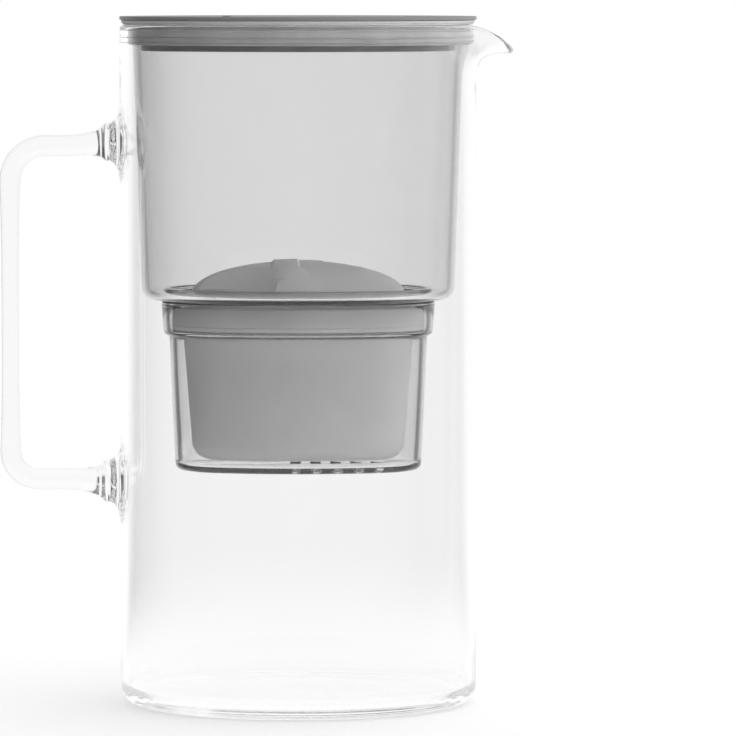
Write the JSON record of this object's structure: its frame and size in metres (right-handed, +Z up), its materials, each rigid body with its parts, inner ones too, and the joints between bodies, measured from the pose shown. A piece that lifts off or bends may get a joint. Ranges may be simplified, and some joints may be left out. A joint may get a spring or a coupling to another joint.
{
  "type": "water filter pitcher",
  "caption": "Slim round glass water jug with a rod handle and a pulled spout; a flip-flap lid closes a hanging hopper with an oval filter cartridge.",
  "frame": {"origin": "centre of the jug's flat base, on the table", "axes": "+Z up along the jug's axis, +X towards the pouring spout, -X towards the handle, +Y to the jug's left seen from the handle"},
  "size_m": [0.1802, 0.125, 0.241],
  "materials": {
    "clear_glass": "clear, fire polished",
    "grey_silicone": "soft matt silicone",
    "grey_translucent": "smoky translucent, polished",
    "black_rubber": "matt",
    "dark_rubber": "matt",
    "cartridge_shell": "smooth, slightly glossy",
    "screen_mesh": "fine woven mesh",
    "resin_beads": "packed beads",
    "carbon_grains": "packed grains",
    "mid_grey_plastic": "satin",
    "dark_grey_plastic": "satin",
    "pin_steel": "drawn wire"
  },
  "bodies": {
    "jug": {"jug_body": "clear_glass", "jug_handle": "clear_glass"},
    "hopper": {"mouth_gasket": "grey_silicone", "hopper": "grey_translucent", "hopper_seal": "black_rubber", "filter_holder": "grey_translucent"},
    "cartridge": {"cartridge_cup": "cartridge_shell", "cartridge_seal": "dark_rubber", "lower_screen": "screen_mesh", "resin_bed": "resin_beads", "carbon_bed": "carbon_grains", "upper_screen": "screen_mesh", "cartridge_cap": "cartridge_shell"},
    "lid": {"lid_plug": "mid_grey_plastic", "lid_cover": "dark_grey_plastic", "hinge_pin": "pin_steel"},
    "flap": {"flap": "dark_grey_plastic"}
  },
  "joints": [
    {"name": "hopper_lift", "type": "slide", "parent": "jug", "child": "hopper", "axis": [0, 0, 1], "range_m": [0, 0.165]},
    {"name": "cartridge_lift", "type": "slide", "parent": "hopper", "child": "cartridge", "axis": [0, 0, 1], "range_m": [0, 0.065]},
    {"name": "lid_lift", "type": "slide", "parent": "hopper", "child": "lid", "axis": [0, 0, 1], "range_m": [0, 0.04]},
    {"name": "flap_hinge", "type": "hinge", "parent": "lid", "child": "flap", "pos_m": [-0.024, 0, 0.2387], "axis": [0, -1, 0], "range_deg": [0, 105]}
  ]
}
